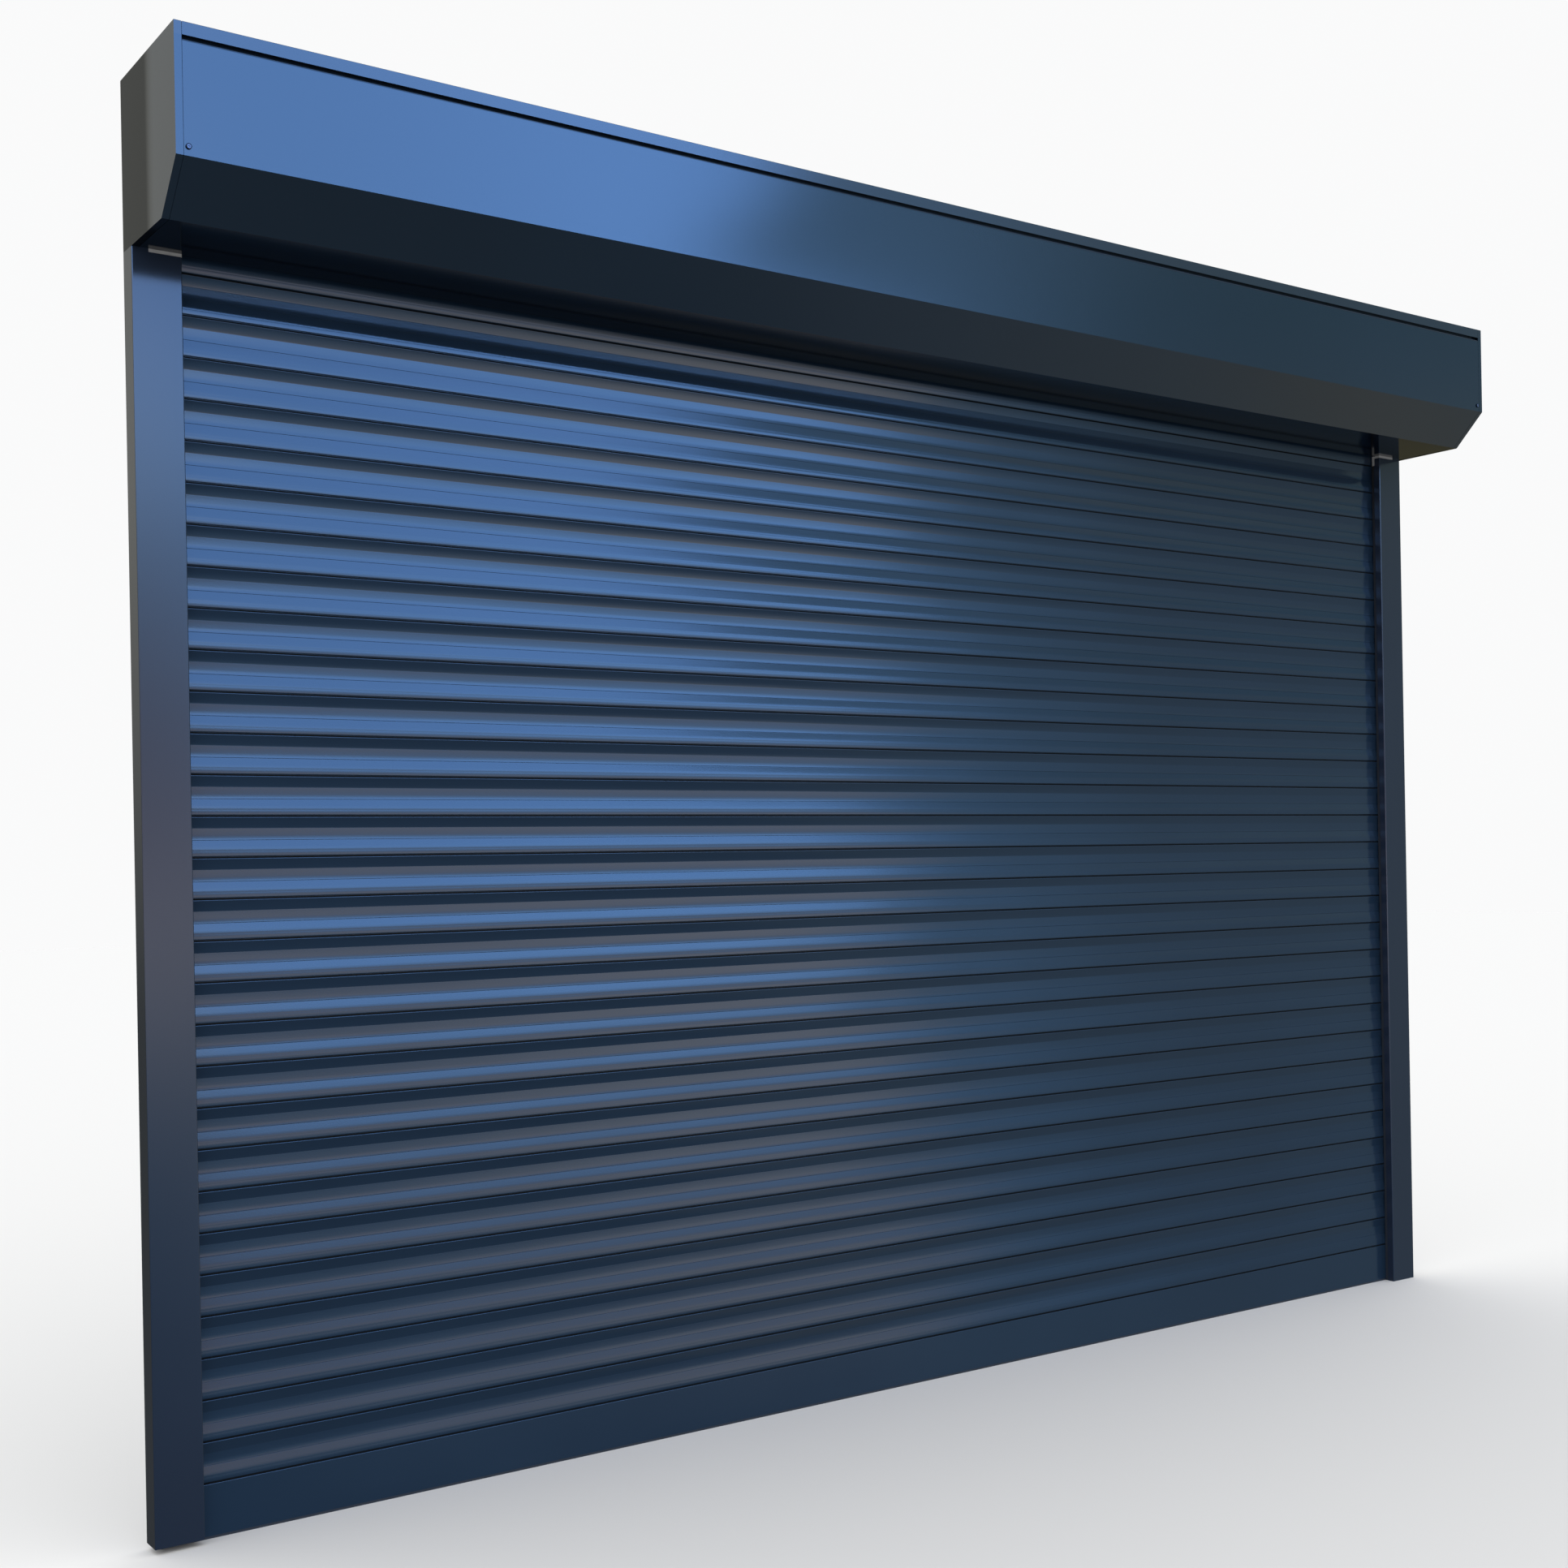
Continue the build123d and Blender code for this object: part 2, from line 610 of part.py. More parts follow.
def make_end_plate(outer_x, inward):
    """End plate whose outer face is at outer_x, with inward as +1 or -1 along X."""
    with BuildPart() as plate:
        with BuildSketch(profile_plane(outer_x)):
            Polygon(*box_outline, align=None)
        extrude(amount=inward * END_PLATE)
        with BuildSketch(profile_plane(outer_x)):
            box_ring(0, RIM_WALL)
        extrude(amount=inward * RIM_WIDTH)
        with BuildSketch(profile_plane(outer_x)):
            box_ring(SHEET, RIM_WALL)
            seam_bottom = panel_top - ledge_cut
            seam_top = box_top - STRIP_HEIGHT + ledge_cut
            with Locations((-BOX_DEPTH + STRIP_HEM, (seam_bottom + seam_top) / 2)):
                Rectangle(2 * STRIP_HEM, seam_top - seam_bottom, mode=Mode.SUBTRACT)
        extrude(amount=inward * ledge_width)
        with BuildSketch(Plane.XZ.offset(BOX_DEPTH)):
            with Locations(*screw_places):
                Circle(SCREW_RADIUS + SCREW_CLEARANCE)
        extrude(amount=-SHEET - 2 * RIM_WALL, mode=Mode.SUBTRACT)
    return plate


left_end_plate = make_end_plate(box_left, 1)
save(left_end_plate, "left_end_plate")

grommet_y = -GROMMET_FROM_WALL
grommet_z = box_top - GROMMET_BELOW_TOP

plain_right_plate = make_end_plate(box_right, -1)

with BuildPart() as right_end_plate:
    add(plain_right_plate.part)
    with BuildSketch(profile_plane(box_right)):
        with Locations((grommet_y, grommet_z)):
            Circle(GROMMET_NECK)
    extrude(amount=-END_PLATE, mode=Mode.SUBTRACT)
save(right_end_plate, "right_end_plate")

with BuildPart() as cable_grommet:
    for x, radius, length in (
        (box_right, GROMMET_FLANGE, GROMMET_FLANGE_WALL),
        (box_right - END_PLATE, GROMMET_NECK, END_PLATE),
        (box_right - END_PLATE - GROMMET_FLANGE_WALL, GROMMET_FLANGE, GROMMET_FLANGE_WALL),
    ):
        with BuildSketch(profile_plane(x)):
            with Locations((grommet_y, grommet_z)):
                Circle(radius)
                Circle(GROMMET_BORE, mode=Mode.SUBTRACT)
        extrude(amount=length)
save(cable_grommet, "cable_grommet")

with BuildPart() as panel_screws:
    with BuildSketch(Plane.XZ.offset(BOX_DEPTH)):
        with Locations(*screw_places):
            Circle(SCREW_HEAD_RADIUS)
    extrude(amount=SCREW_HEAD_HEIGHT)
    with BuildSketch(Plane.XZ.offset(BOX_DEPTH)):
        with Locations(*screw_places):
            Circle(SCREW_RADIUS)
    extrude(amount=-SCREW_LENGTH)
    with BuildSketch(Plane.XZ.offset(BOX_DEPTH + SCREW_HEAD_HEIGHT)):
        with Locations(*screw_places):
            Rectangle(SCREW_SLOT_LENGTH, SCREW_SLOT_WIDTH)
            Rectangle(SCREW_SLOT_WIDTH, SCREW_SLOT_LENGTH)
    extrude(amount=-SCREW_SLOT_DEPTH, mode=Mode.SUBTRACT)
save(panel_screws, "panel_screws")


# Brackets on the end plates, and the studs and nuts that hold them
half_bolts = BRACKET_BOLT_SPACING / 2
bolt_corners = [
    (-half_bolts, -half_bolts),
    (-half_bolts, half_bolts),
    (half_bolts, -half_bolts),
    (half_bolts, half_bolts),
]
bolt_places = [(barrel_y + y, barrel_z + z) for y, z in bolt_corners]

with BuildPart() as motor_bracket:
    with BuildSketch(profile_plane(bracket_face)):
        with Locations((barrel_y, barrel_z)):
            Rectangle(BRACKET_SIZE, BRACKET_SIZE)
        with Locations(*bolt_places):
            Circle(BRACKET_BOLT_RADIUS, mode=Mode.SUBTRACT)
    extrude(amount=BRACKET_THICKNESS)
save(motor_bracket, "motor_bracket")

with BuildPart() as idler_bracket:
    with BuildSketch(profile_plane(box_left + END_PLATE)):
        with Locations((barrel_y, barrel_z)):
            Rectangle(BRACKET_SIZE, BRACKET_SIZE)
        with Locations(*bolt_places):
            Circle(BRACKET_BOLT_RADIUS, mode=Mode.SUBTRACT)
    extrude(amount=IDLER_BRACKET_THICKNESS)
    with BuildSketch(profile_plane(box_left + END_PLATE)):
        with Locations((barrel_y, barrel_z)):
            Circle(BEARING_RADIUS + HOUSING_WALL)
    extrude(amount=HOUSING_LENGTH)
    with BuildSketch(profile_plane(housing_face)):
        with Locations((barrel_y, barrel_z)):
            Circle(BEARING_RADIUS)
    extrude(amount=-BEARING_WIDTH, mode=Mode.SUBTRACT)
save(idler_bracket, "idler_bracket")

with BuildPart() as bracket_studs:
    for x, inward, grip in (
        (box_left + END_PLATE, 1, IDLER_BRACKET_THICKNESS),
        (box_right - END_PLATE, -1, BRACKET_THICKNESS),
    ):
        with BuildSketch(profile_plane(x)):
            with Locations(*bolt_places):
                Circle(BRACKET_BOLT_RADIUS - SCREW_CLEARANCE)
        extrude(amount=inward * (grip + NUT_HEIGHT + STUD_TIP))
        with BuildSketch(profile_plane(x + inward * grip)):
            with Locations(*bolt_places):
                RegularPolygon(radius=NUT_FLATS / 2, side_count=6, major_radius=False)
        extrude(amount=inward * NUT_HEIGHT)
save(bracket_studs, "bracket_studs")


# Ball bearing in the idler bracket
inner_race = PIN_RADIUS + RUNNING_CLEARANCE
race_step = (BEARING_RADIUS - inner_race) / 2
ball_circle = inner_race + race_step
ball_radius = race_step * BALL_SHARE
ball_gap = ball_radius + BALL_CLEARANCE

with BuildPart() as ball_bearing:
    with BuildSketch(profile_plane(housing_face)):
        with Locations((barrel_y, barrel_z)):
            Circle(BEARING_RADIUS)
            Circle(ball_circle + ball_gap, mode=Mode.SUBTRACT)
            Circle(ball_circle - ball_gap)
            Circle(inner_race, mode=Mode.SUBTRACT)
    extrude(amount=-BEARING_WIDTH)
    ball_plane = profile_plane(housing_face - BEARING_WIDTH / 2, barrel_y, barrel_z)
    with Locations(ball_plane):
        with PolarLocations(ball_circle, BALL_COUNT):
            Sphere(ball_radius)
save(ball_bearing, "ball_bearing")


# Tube motor
with BuildPart() as tube_motor:
    with BuildSketch(profile_plane(bracket_face)):
        with Locations((barrel_y, barrel_z)):
            Circle(MOTOR_HEAD_RADIUS)
    extrude(amount=-MOTOR_HEAD_LENGTH)
    with BuildSketch(profile_plane(motor_start)):
        with Locations((barrel_y, barrel_z)):
            Circle(MOTOR_RADIUS)
    extrude(amount=-MOTOR_LENGTH)
    with BuildSketch(profile_plane(motor_end)):
        with Locations((barrel_y, barrel_z)):
            Circle(DRIVE_SHAFT_RADIUS + RUNNING_CLEARANCE)
    extrude(amount=DRIVE_SHAFT_LENGTH, mode=Mode.SUBTRACT)
save(tube_motor, "tube_motor")


# Barrel and what turns with it
plug_apothem = BARREL_FLATS / 2 - BARREL_WALL - BARREL_PLUG_CLEARANCE


def octagon(apothem, mode=Mode.ADD):
    """Eight-sided section with the given distance from its middle to a flat."""
    RegularPolygon(radius=apothem, side_count=8, major_radius=False, mode=mode)


with BuildPart() as barrel_tube:
    with BuildSketch(profile_plane(barrel_left, barrel_y, barrel_z)):
        octagon(BARREL_FLATS / 2)
        octagon(BARREL_FLATS / 2 - BARREL_WALL, mode=Mode.SUBTRACT)
    extrude(amount=barrel_length)
save(barrel_tube, "barrel_tube")

with BuildPart() as motor_crown:
    with BuildSketch(profile_plane(barrel_right, barrel_y, barrel_z)):
        octagon(plug_apothem)
        Circle(MOTOR_RADIUS + RUNNING_CLEARANCE, mode=Mode.SUBTRACT)
    extrude(amount=-CROWN_LENGTH)
save(motor_crown, "motor_crown")

wheel_face = motor_end - DRIVE_WHEEL_GAP

with BuildPart() as drive_wheel:
    with BuildSketch(profile_plane(wheel_face, barrel_y, barrel_z)):
        octagon(plug_apothem)
    extrude(amount=-DRIVE_WHEEL_LENGTH)
    with BuildSketch(profile_plane(wheel_face, barrel_y, barrel_z)):
        Circle(DRIVE_SHAFT_RADIUS)
    extrude(amount=DRIVE_SHAFT_LENGTH)
save(drive_wheel, "drive_wheel")

with BuildPart() as idler_plug:
    with BuildSketch(profile_plane(barrel_left, barrel_y, barrel_z)):
        octagon(plug_apothem)
    extrude(amount=IDLER_PLUG_LENGTH)
    with BuildSketch(profile_plane(barrel_left, barrel_y, barrel_z)):
        Circle(BARREL_FLATS / 2)
    extrude(amount=-IDLER_FLANGE)
    with BuildSketch(profile_plane(barrel_left, barrel_y, barrel_z)):
        Circle(PIN_RADIUS)
    extrude(amount=-BARREL_IDLER_GAP - BEARING_WIDTH + PIN_END_GAP)
save(idler_plug, "idler_plug")


# Rings on the barrel and the straps that hang the curtain from them
ring_radius = BARREL_FLATS / 2 / math.cos(math.pi / 8) + RING_WALL
ring_pitch = CLEAR_WIDTH / RING_COUNT
ring_places = [ring_pitch * (index - (RING_COUNT - 1) / 2) for index in range(RING_COUNT)]

with BuildPart() as hanger_rings:
    for x in ring_places:
        with BuildSketch(profile_plane(x - RING_WIDTH / 2, barrel_y, barrel_z)):
            Circle(ring_radius)
            octagon(BARREL_FLATS / 2 + BARREL_PLUG_CLEARANCE, mode=Mode.SUBTRACT)
    extrude(amount=RING_WIDTH)
save(hanger_rings, "hanger_rings")

lean = math.radians(TOP_SLAT_LEAN)
bead_y = knuckle_y - SLAT_PITCH * math.sin(lean)
bead_z = top_knuckle + SLAT_PITCH * math.cos(lean)
strap_radius = ring_radius + STRAP_CLEARANCE + STRAP_THICKNESS / 2
to_bead = math.atan2(bead_z - barrel_z, bead_y - barrel_y)
bead_distance = math.hypot(bead_z - barrel_z, bead_y - barrel_y)
tangent_angle = math.degrees(to_bead + math.acos(strap_radius / bead_distance))


def about_barrel(radius, degrees):
    """Point at a distance and an angle from the barrel's axis."""
    y, z = polar_point(radius, degrees)
    return (barrel_y + y, barrel_z + z)


def make_strap(x):
    """One strap: hooked over the top slat's bead, straight to the ring, then bent round it."""
    inner = strap_radius - STRAP_THICKNESS / 2
    outer = strap_radius + STRAP_THICKNESS / 2
    half_y, half_z = polar_point(STRAP_THICKNESS / 2, tangent_angle)
    straight = [
        (bead_y - half_y, bead_z - half_z),
        (bead_y + half_y, bead_z + half_z),
        about_barrel(outer, tangent_angle),
        about_barrel(inner, tangent_angle),
    ]
    wedge_angles = [tangent_angle + STRAP_WRAP_ANGLE * half / 2 for half in range(3)]
    wedge = [(barrel_y, barrel_z)] + [about_barrel(WEDGE_REACH * outer, angle) for angle in wedge_angles]
    with BuildPart() as strap:
        with BuildSketch(profile_plane(x - STRAP_WIDTH / 2)):
            with Locations((barrel_y, barrel_z)):
                Circle(outer)
                Circle(inner, mode=Mode.SUBTRACT)
            Polygon(*wedge, align=None, mode=Mode.INTERSECT)
            Polygon(*straight, align=None)
        extrude(amount=STRAP_WIDTH)
        with BuildSketch(profile_plane(x - STRAP_WIDTH / 2, bead_y, bead_z, TOP_SLAT_LEAN)):
            Circle(knuckle_radius)
        extrude(amount=STRAP_WIDTH)
        with BuildSketch(profile_plane(x - STRAP_WIDTH / 2, bead_y, bead_z, TOP_SLAT_LEAN)):
            Circle(socket_radius)
            Polygon(*mouth_points(), align=None)
        extrude(amount=STRAP_WIDTH, mode=Mode.SUBTRACT)
    return strap


straps = [make_strap(x) for x in ring_places]

with BuildPart() as hanger_straps:
    for strap in straps:
        add(strap.part)
save(hanger_straps, "hanger_straps")
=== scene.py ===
import json
import math

import bpy
from mathutils import Matrix, Vector


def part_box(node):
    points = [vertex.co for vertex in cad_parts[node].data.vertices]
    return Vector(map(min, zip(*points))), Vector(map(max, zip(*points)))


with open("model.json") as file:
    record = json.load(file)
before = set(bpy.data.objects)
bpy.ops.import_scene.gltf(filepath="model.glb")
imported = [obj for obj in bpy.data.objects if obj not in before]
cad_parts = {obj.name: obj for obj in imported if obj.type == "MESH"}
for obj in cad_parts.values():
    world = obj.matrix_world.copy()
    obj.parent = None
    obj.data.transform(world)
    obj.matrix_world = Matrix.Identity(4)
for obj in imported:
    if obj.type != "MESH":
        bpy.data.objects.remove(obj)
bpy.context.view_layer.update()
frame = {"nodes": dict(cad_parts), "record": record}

# Camera of the photograph, in the door's frame: metres and degrees
CAMERA_PLACE = (-2.82392, -3.60253, 1.23049)
CAMERA_YAW = 35.9521
CAMERA_PITCH = -0.0505
CAMERA_ROLL = -1.0295
IMAGE_SIDE = 1932.0
FOCAL_PIXELS = 2384.88
CENTRE_PIXEL = (1029.28, 1062.88)
SENSOR = 36.0
CAMERA_REACH = 100.0


def set_camera():
    """Put the camera where the photograph was taken."""
    yaw, pitch, roll = (math.radians(a) for a in (CAMERA_YAW, CAMERA_PITCH, CAMERA_ROLL))
    ahead = Vector((math.sin(yaw) * math.cos(pitch), math.cos(yaw) * math.cos(pitch), math.sin(pitch)))
    level_right = Vector((math.cos(yaw), -math.sin(yaw), 0))
    level_up = level_right.cross(ahead)
    right = math.cos(roll) * level_right + math.sin(roll) * level_up
    up = -math.sin(roll) * level_right + math.cos(roll) * level_up
    data = bpy.data.cameras.new("camera")
    data.sensor_width = SENSOR
    data.lens = FOCAL_PIXELS / IMAGE_SIDE * SENSOR
    data.shift_x = (IMAGE_SIDE / 2 - CENTRE_PIXEL[0]) / IMAGE_SIDE
    data.shift_y = (CENTRE_PIXEL[1] - IMAGE_SIDE / 2) / IMAGE_SIDE
    data.clip_end = CAMERA_REACH
    camera = bpy.data.objects.new("camera", data)
    turn = Matrix((right, up, -ahead)).transposed().to_4x4()
    camera.matrix_world = Matrix.Translation(CAMERA_PLACE) @ turn
    bpy.context.scene.collection.objects.link(camera)
    bpy.context.scene.camera = camera


# Middle of the values that a noise texture gives
NOISE_MIDDLE = 0.5


class Nodes:
    """Short ways to add shader nodes to one tree and link them."""

    def __init__(self, tree):
        self.tree = tree
        tree.nodes.clear()

    def add(self, kind, inputs=None, **settings):
        """New node with its settings, and with a value or a link in each named input."""
        node = self.tree.nodes.new(kind)
        for name, value in settings.items():
            setattr(node, name, value)
        for name, value in (inputs or {}).items():
            self.feed(node.inputs[name], value)
        return node

    def feed(self, socket, value):
        """Link a socket to another one, or set its value."""
        if isinstance(value, bpy.types.NodeSocket):
            self.tree.links.new(value, socket)
        else:
            socket.default_value = value

    def math(self, operation, *values):
        """Result of a math operation on links or numbers."""
        node = self.add("ShaderNodeMath", operation=operation)
        for socket, value in zip(node.inputs, values):
            self.feed(socket, value)
        return node.outputs[0]

    def vector(self, operation, inputs):
        """Result of a vector operation on the named inputs."""
        return self.add("ShaderNodeVectorMath", inputs, operation=operation).outputs[0]

    def scaled(self, vector, factor):
        """Vector or colour times a factor."""
        return self.vector("SCALE", {0: vector, "Scale": factor})

    def shift(self, facing, lean, share):
        """Direction that leans from facing by a share of the vector lean."""
        both = self.vector("ADD", {0: facing, 1: self.scaled(lean, share)})
        return self.vector("NORMALIZE", {0: both})

    def noise(self, place, scale, detail, output="Fac"):
        """Soft spots that change from place to place, as a number or, with Color, as a vector."""
        node = self.add("ShaderNodeTexNoise", {"Vector": place, "Scale": scale, "Detail": detail})
        return node.outputs[output]

    def wander(self, place, scale, detail):
        """Small vector that changes from place to place and is about zero on average."""
        spots = self.noise(place, scale, detail, "Color")
        return self.vector("SUBTRACT", {0: spots, 1: (NOISE_MIDDLE,) * 3})

    def varied(self, colour, spots, contrast):
        """Colour that is darker and lighter in spots, which go from 0 to 1; contrast is its whole span."""
        return self.scaled(colour, self.math("MULTIPLY_ADD", spots, contrast, 1 - contrast * NOISE_MIDDLE))

    def ramp(self, value, low, high):
        """0 below low and 1 above high, with a smooth step between; high may be the lower one."""
        inputs = {"Value": value, "From Min": low, "From Max": high}
        return self.add("ShaderNodeMapRange", inputs, interpolation_type="SMOOTHSTEP").outputs["Result"]

    def profile(self, value, stops):
        """Number or colour that follows the stops: pairs of a place along value and what it has there."""
        low, high = stops[0][0], stops[-1][0]
        curve = self.add("ShaderNodeValToRGB")
        where = self.add("ShaderNodeMapRange", {"Value": value, "From Min": low, "From Max": high})
        self.feed(curve.inputs["Fac"], where.outputs["Result"])
        points = curve.color_ramp.elements
        while len(points) < len(stops):
            points.new(1.0)
        single = not isinstance(stops[0][1], tuple)
        numbers = [s[1] for s in stops] if single else [0.0, PEAK]
        floor, span = min(numbers), max(numbers) - min(numbers)
        for point, (at, given) in zip(points, stops):
            point.position = (at - low) / (high - low)
            point.color = [((v - floor) / span) for v in ((given,) * 3 if single else given)] + [1.0]
        if single:
            return self.math("MULTIPLY_ADD", curve.outputs["Color"], span, floor)
        return self.scaled(curve.outputs["Color"], span)

    def mix(self, share, first, second):
        """Colour between first and second."""
        node = self.add("ShaderNodeMix", {"Factor": share}, data_type="RGBA")
        colours = [s for s in node.inputs if s.type == "RGBA"]
        for socket, value in zip(colours, (first, second)):
            self.feed(socket, value)
        return [s for s in node.outputs if s.type == "RGBA"][0]


# Light of the studio: a pale backdrop, and a soft light on every surface that is stronger from above.
# The soft light changes between the two elevations of SOFT_HORIZON, in degrees.
BACKDROP = (0.955, 0.957, 0.96, 1)
HIGH_LIGHT = (1.42, 1.52, 1.65, 1)
LOW_LIGHT = (0.55, 0.53, 0.52, 1)
SOFT_HORIZON = (-12.0, 12.0)

# What the coatings mirror, by direction. A profile lists elevations in degrees and the brightness seen
# there, up to PEAK. Azimuths are in degrees from straight ahead of the door, growing to the right.
PEAK = 12.0
FAR_LEFT = (
    (-90, (0.10, 0.14, 0.17)), (-30, (0.06, 0.08, 0.12)), (-17, (0.06, 0.13, 0.24)),
    (-12.5, (0.12, 0.30, 0.58)), (-9, (0.28, 0.52, 0.86)), (-4.5, (1.00, 1.14, 1.42)),
    (-3, (1.85, 1.83, 2.10)), (-1.2, (1.82, 1.76, 2.00)), (1.2, (1.28, 1.14, 1.46)),
    (2.5, (1.02, 0.98, 1.30)), (4.5, (0.92, 0.90, 1.08)), (6, (0.92, 1.05, 1.40)),
    (8, (0.95, 1.36, 2.00)), (10, (1.80, 2.90, 4.80)), (11.5, (2.60, 4.25, 7.30)),
    (13.5, (2.50, 4.20, 7.70)), (16, (2.10, 3.60, 7.25)), (18, (1.55, 3.20, 7.00)),
    (27, (1.32, 2.95, 6.90)), (45, (1.00, 2.30, 5.60)), (90, (0.60, 1.50, 3.80)),
)
SHADED_SIDE = (
    (-90, (0.10, 0.14, 0.17)), (-30, (0.06, 0.08, 0.12)), (-17, (0.09, 0.15, 0.24)),
    (-12.5, (0.36, 0.58, 0.88)), (-9, (0.60, 0.86, 1.20)), (-4.5, (1.00, 1.14, 1.42)),
    (-1.2, (1.85, 1.84, 2.05)), (2.5, (1.12, 1.38, 2.00)), (7, (1.28, 2.35, 4.40)),
    (9.5, (1.50, 3.05, 6.30)), (12, (1.80, 3.80, 8.10)), (16, (1.45, 3.15, 7.30)),
    (19, (1.40, 3.10, 7.00)), (27, (1.32, 2.95, 6.90)), (45, (1.00, 2.30, 5.60)),
    (90, (0.60, 1.50, 3.80)),
)
SUNNY_SIDE = (
    (-90, (0.10, 0.14, 0.17)), (-30, (0.07, 0.10, 0.13)), (-16, (0.13, 0.19, 0.27)),
    (-12.5, (0.72, 0.86, 1.05)), (-8, (1.80, 1.88, 2.00)), (-3, (1.95, 1.92, 2.05)),
    (2.5, (1.08, 1.38, 2.00)), (6, (1.15, 2.10, 3.80)), (9, (1.60, 3.10, 6.10)),
    (11, (1.90, 4.00, 8.20)), (13, (1.85, 4.15, 9.20)), (16, (1.60, 3.60, 8.20)),
    (27, (1.55, 3.42, 8.00)), (45, (1.25, 2.90, 7.00)), (90, (0.60, 1.50, 3.80)),
)
RIGHT_SIDE = (
    (-90, (0.09, 0.12, 0.13)), (-55, (0.09, 0.12, 0.13)), (-50, (0.18, 0.22, 0.24)),
    (-42, (0.28, 0.32, 0.31)), (-37, (0.38, 0.38, 0.30)), (-30, (0.24, 0.31, 0.34)),
    (7, (0.25, 0.35, 0.40)), (10, (0.32, 0.42, 0.39)), (12, (0.26, 0.38, 0.41)),
    (13.3, (0.20, 0.33, 0.40)), (16, (0.15, 0.30, 0.36)), (27, (0.54, 0.60, 0.50)),
    (45, (0.60, 1.00, 1.80)), (90, (0.60, 1.50, 3.80)),
)
WALL_SIDE = (
    (-90, (0.12, 0.12, 0.11)), (-4, (0.09, 0.085, 0.05)), (10, (0.49, 0.48, 0.41)),
    (22, (0.49, 0.49, 0.44)), (30, (0.60, 0.64, 0.66)), (45, (0.70, 0.78, 0.90)),
    (90, (0.60, 1.50, 3.80)),
)
# Azimuths between which the far left blends into the shaded side, and that into the sunny side
FAR_LEFT_END = (17.2, 18.8)
SHADE_END = (19.0, 32.0)
# Dusk on the right: its colour, the azimuths where it fades and the elevations where it rises
DUSK = (0.42, 0.86, 1.45, 1)
DUSK_FADE = (46.5, 38.5)
DUSK_RISE = (-20.0, -2.0)
# Azimuth where the open sky on the left ends, by elevation, and half the width of its soft edge
SKY_EDGE = (
    (-30, 37.7), (15, 37.8), (16.4, 34.1), (17.3, 31.6), (18.7, 34.4), (20, 35.2), (21.4, 34.4),
    (24, 34.0), (27, 34.8), (33, 38.5), (60, 45.0), (90, 50.0),
)
EDGE_BLUR = 1.0
# Ragged clouds: scale, detail, how far they move the sky's edge, in degrees, and the skyline's share of it
CLOUD_SCALE = 12.0
CLOUD_DETAIL = 4.0
CLOUD_REACH = 3.4
CLOUD_LIFT = 0.4
# How far a direction points to the wall, between which the view ahead gives way to the wall's side
WALL_BLEND = (-0.02, 0.12)


def mirrored_surroundings(n, place, height):
    """Colour that the coatings mirror: sky and ground ahead of the door, and the wall's side behind it."""
    axes = n.add("ShaderNodeSeparateXYZ", {"Vector": place}).outputs
    azimuth = n.math("DEGREES", n.math("ARCTAN2", axes["X"], n.math("MULTIPLY", axes["Y"], -1.0)))
    cloud = n.noise(place, CLOUD_SCALE, CLOUD_DETAIL)
    ragged = n.math("MULTIPLY", n.math("SUBTRACT", cloud, NOISE_MIDDLE), CLOUD_REACH)
    skyline = n.math("ADD", height, n.math("MULTIPLY", ragged, CLOUD_LIFT))
    shaded = n.profile(skyline, SHADED_SIDE)
    left = n.mix(n.ramp(azimuth, *SHADE_END), shaded, n.profile(skyline, SUNNY_SIDE))
    left = n.mix(n.ramp(azimuth, *FAR_LEFT_END), n.profile(skyline, FAR_LEFT), left)
    dusk = n.math("MULTIPLY", n.ramp(azimuth, *DUSK_FADE), n.ramp(height, *DUSK_RISE))
    right = n.mix(dusk, n.profile(height, RIGHT_SIDE), DUSK)
    beyond = n.math("ADD", n.math("SUBTRACT", azimuth, n.profile(height, SKY_EDGE)), ragged)
    ahead = n.mix(n.ramp(beyond, EDGE_BLUR, -EDGE_BLUR), right, left)
    return n.mix(n.ramp(axes["Y"], *WALL_BLEND), ahead, n.profile(height, WALL_SIDE))


def set_light():
    """World that is pale to the camera, soft on surfaces, and has sky and ground in its mirror image."""
    world = bpy.data.worlds.new("studio")
    bpy.context.scene.world = world
    world.use_nodes = True
    n = Nodes(world.node_tree)
    place = n.add("ShaderNodeTexCoord").outputs["Generated"]
    upward = n.add("ShaderNodeSeparateXYZ", {"Vector": place}).outputs["Z"]
    height = n.math("DEGREES", n.math("ARCSINE", upward))
    soft = n.mix(n.ramp(height, *SOFT_HORIZON), LOW_LIGHT, HIGH_LIGHT)
    rays = n.add("ShaderNodeLightPath").outputs
    unmirrored = n.mix(rays["Is Camera Ray"], soft, BACKDROP)
    shown = n.mix(rays["Is Glossy Ray"], unmirrored, mirrored_surroundings(n, place, height))
    light = n.add("ShaderNodeBackground", {"Color": shown, "Strength": 1.0})
    n.add("ShaderNodeOutputWorld", {"Surface": light.outputs[0]})
    bpy.context.scene.view_settings.view_transform = "Standard"


# Coating: patches of a lighter and darker tone, faint waves, orange peel, and the shader's full shine
PATCH_SCALE = 2.2
PATCH_DETAIL = 3.0
PATCH_CONTRAST = 0.24
WAVE_SCALE = 1.7
WAVE_DETAIL = 1.0
PEEL_SCALE = 420.0
PEEL_DETAIL = 2.0
PEEL_STRENGTH = 0.10
PEEL_DEPTH = 0.0004
FULL_SHINE = 0.5
# Slats: height of the lowest knuckle, and pitch, in metres
SLAT_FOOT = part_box("slat_01")[0].z
FIRST_KNUCKLE = SLAT_FOOT + 0.0026
SLAT_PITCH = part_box("slat_02")[0].z - SLAT_FOOT
